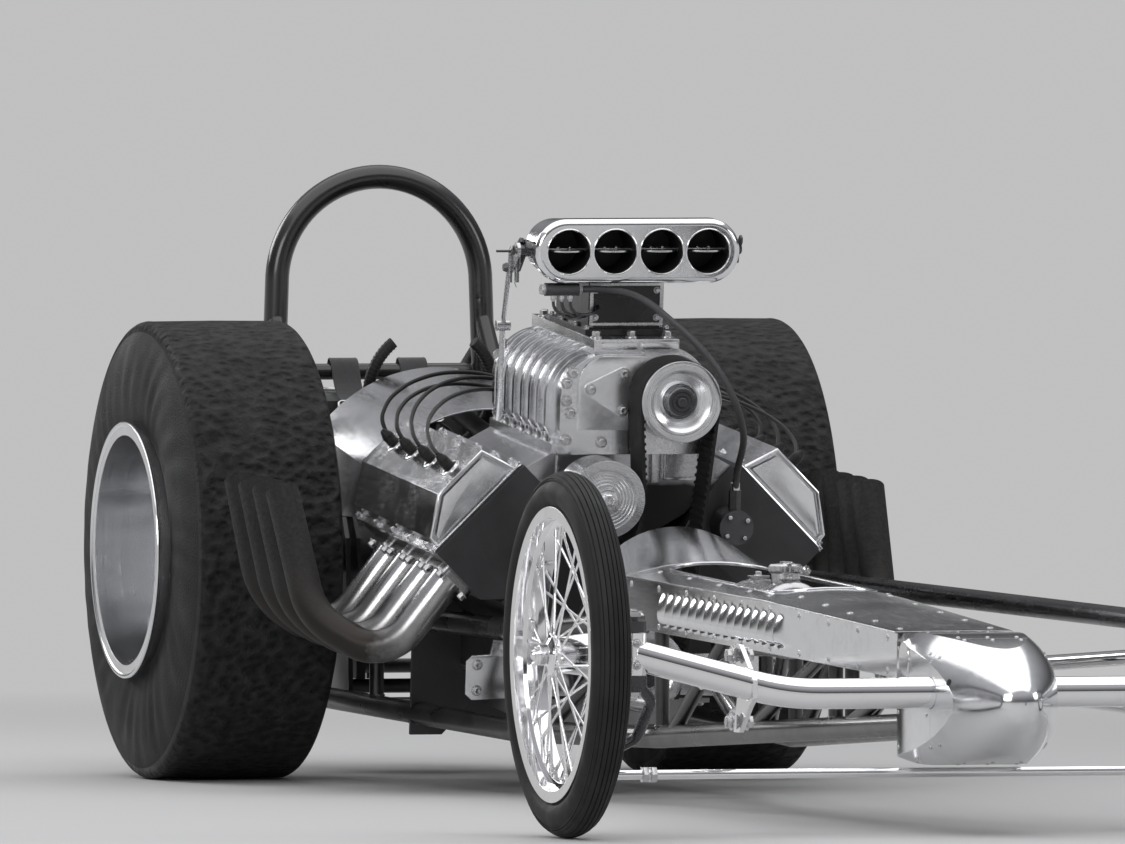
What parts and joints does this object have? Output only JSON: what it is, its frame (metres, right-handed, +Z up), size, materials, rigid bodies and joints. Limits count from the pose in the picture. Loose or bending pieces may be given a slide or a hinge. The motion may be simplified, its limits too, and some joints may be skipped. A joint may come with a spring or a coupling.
{
  "type": "drag racing car",
  "caption": "Front-engined drag racing car with a long tube frame, wire front wheels, slicks, supercharged hemi V8, zoomie headers and linked steering.",
  "frame": {"origin": "on the ground, under the middle of the overall length and width", "axes": "+X to the nose, +Y to the left side, +Z up"},
  "size_m": [4.4505, 1.558, 1.0499],
  "materials": {
    "tyre": "matte",
    "wire_wheel_chrome": "polished",
    "dished_aluminium": "polished",
    "drum_iron": "turned",
    "frame_black": "gloss",
    "axle_chrome": "polished",
    "link_steel": "satin",
    "body_aluminium": "polished",
    "tank_aluminium": "satin",
    "housing_steel": "satin",
    "grip_black": "satin",
    "seat_vinyl": "grained",
    "pack_canvas": "woven",
    "lever_steel": "satin",
    "block_iron": "satin paint",
    "pan_aluminium": "cast",
    "can_steel": "satin",
    "cover_polished": "polished",
    "header_steel": "heat-stained",
    "manifold_aluminium": "cast and polished",
    "blower_magnesium": "polished",
    "belt_rubber": "matte",
    "neck_dark": "satin",
    "hat_polished": "polished",
    "trim_steel": "satin",
    "wire_black": "gloss",
    "hose_braid": "braided"
  },
  "bodies": {
    "chassis": {"belt_pulleys": "cover_polished", "blower_case": "blower_magnesium", "blower_covers": "blower_magnesium", "brake_lever": "lever_steel", "butterflies": "trim_steel", "clutch_can": "can_steel", "cockpit_cowl": "body_aluminium", "cockpit_sides": "body_aluminium", "cowl_dome": "body_aluminium", "cross_members": "frame_black", "cylinder_heads": "block_iron", "drive_belt": "belt_rubber", "engine_block": "block_iron", "front_axle": "axle_chrome", "fuel_lines": "hose_braid", "fuel_tank": "tank_aluminium", "headers_left": "header_steel", "headers_right": "header_steel", "hood": "body_aluminium", "injector_hat": "hat_polished", "injector_neck": "neck_dark", "intake_manifold": "manifold_aluminium", "magneto": "neck_dark", "nose_collar": "body_aluminium", "nose_cone": "body_aluminium", "oil_pan": "pan_aluminium", "parachute_pack": "pack_canvas", "plug_wires": "wire_black", "radius_rods": "axle_chrome", "rear_axle_housing": "housing_steel", "roll_cage": "frame_black", "seat": "seat_vinyl", "side_frame_left": "frame_black", "side_frame_right": "frame_black", "side_panels": "body_aluminium", "steering_box": "housing_steel", "throttle_linkage": "trim_steel", "valve_covers": "cover_polished"},
    "knuckle_left": {"knuckle_left": "link_steel"},
    "knuckle_right": {"knuckle_right": "link_steel"},
    "front_wheel_left": {"front_tyre_left": "tyre", "wire_wheel_left": "wire_wheel_chrome"},
    "front_wheel_right": {"front_tyre_right": "tyre", "wire_wheel_right": "wire_wheel_chrome"},
    "rear_wheel_left": {"rear_slick_left": "tyre", "dished_wheel_left": "dished_aluminium", "brake_drum_left": "drum_iron"},
    "rear_wheel_right": {"rear_slick_right": "tyre", "dished_wheel_right": "dished_aluminium", "brake_drum_right": "drum_iron"},
    "tie_rod": {"tie_rod": "axle_chrome"},
    "drag_link": {"drag_link": "link_steel"},
    "pitman_arm": {"pitman_arm": "link_steel"},
    "steering_wheel": {"steering_wheel": "grip_black"}
  },
  "joints": [
    {"name": "steer_left", "type": "hinge", "parent": "chassis", "child": "knuckle_left", "pos_m": [1.92475, 0.61, 0.3005], "axis": [0, 0, 1], "range_deg": [-15, 15]},
    {"name": "steer_right", "type": "hinge", "parent": "chassis", "child": "knuckle_right", "pos_m": [1.92475, -0.61, 0.3005], "axis": [0, 0, 1], "range_deg": [-15, 15]},
    {"name": "front_spin_left", "type": "hinge", "parent": "knuckle_left", "child": "front_wheel_left", "pos_m": [1.92475, 0.722, 0.3005], "axis": [0, 1, 0], "continuous": true},
    {"name": "front_spin_right", "type": "hinge", "parent": "knuckle_right", "child": "front_wheel_right", "pos_m": [1.92475, -0.722, 0.3005], "axis": [0, 1, 0], "continuous": true},
    {"name": "rear_spin_left", "type": "hinge", "parent": "chassis", "child": "rear_wheel_left", "pos_m": [-1.27525, 0.445, 0.395], "axis": [0, 1, 0], "continuous": true},
    {"name": "rear_spin_right", "type": "hinge", "parent": "chassis", "child": "rear_wheel_right", "pos_m": [-1.27525, -0.445, 0.395], "axis": [0, 1, 0], "continuous": true},
    {"name": "tie_rod_pivot", "type": "hinge", "parent": "knuckle_left", "child": "tie_rod", "pos_m": [1.77475, 0.61, 0.098], "axis": [0, 0, 1], "range_deg": [-15, 15]},
    {"name": "drag_link_pivot", "type": "hinge", "parent": "knuckle_left", "child": "drag_link", "pos_m": [1.92475, 0.51, 0.32], "axis": [0, 0, 1], "range_deg": [-15, 15]},
    {"name": "pitman_swing", "type": "hinge", "parent": "chassis", "child": "pitman_arm", "pos_m": [-0.82525, 0.4, 0.537], "axis": [0, 1, 0], "range_deg": [-8.34, 8.34]},
    {"name": "steering_wheel_turn", "type": "hinge", "parent": "chassis", "child": "steering_wheel", "pos_m": [-1.46904, 0, 0.66339], "axis": [-0.9816, 0, 0.1908], "range_deg": [-83.4, 83.4]}
  ],
  "couplings": [
    {"joint": "steer_right", "follows": "steer_left", "ratio": 1},
    {"joint": "tie_rod_pivot", "follows": "steer_left", "ratio": -1},
    {"joint": "drag_link_pivot", "follows": "steer_left", "ratio": -1},
    {"joint": "pitman_swing", "follows": "steer_left", "ratio": -0.55556},
    {"joint": "steering_wheel_turn", "follows": "steer_left", "ratio": 5.5556}
  ]
}
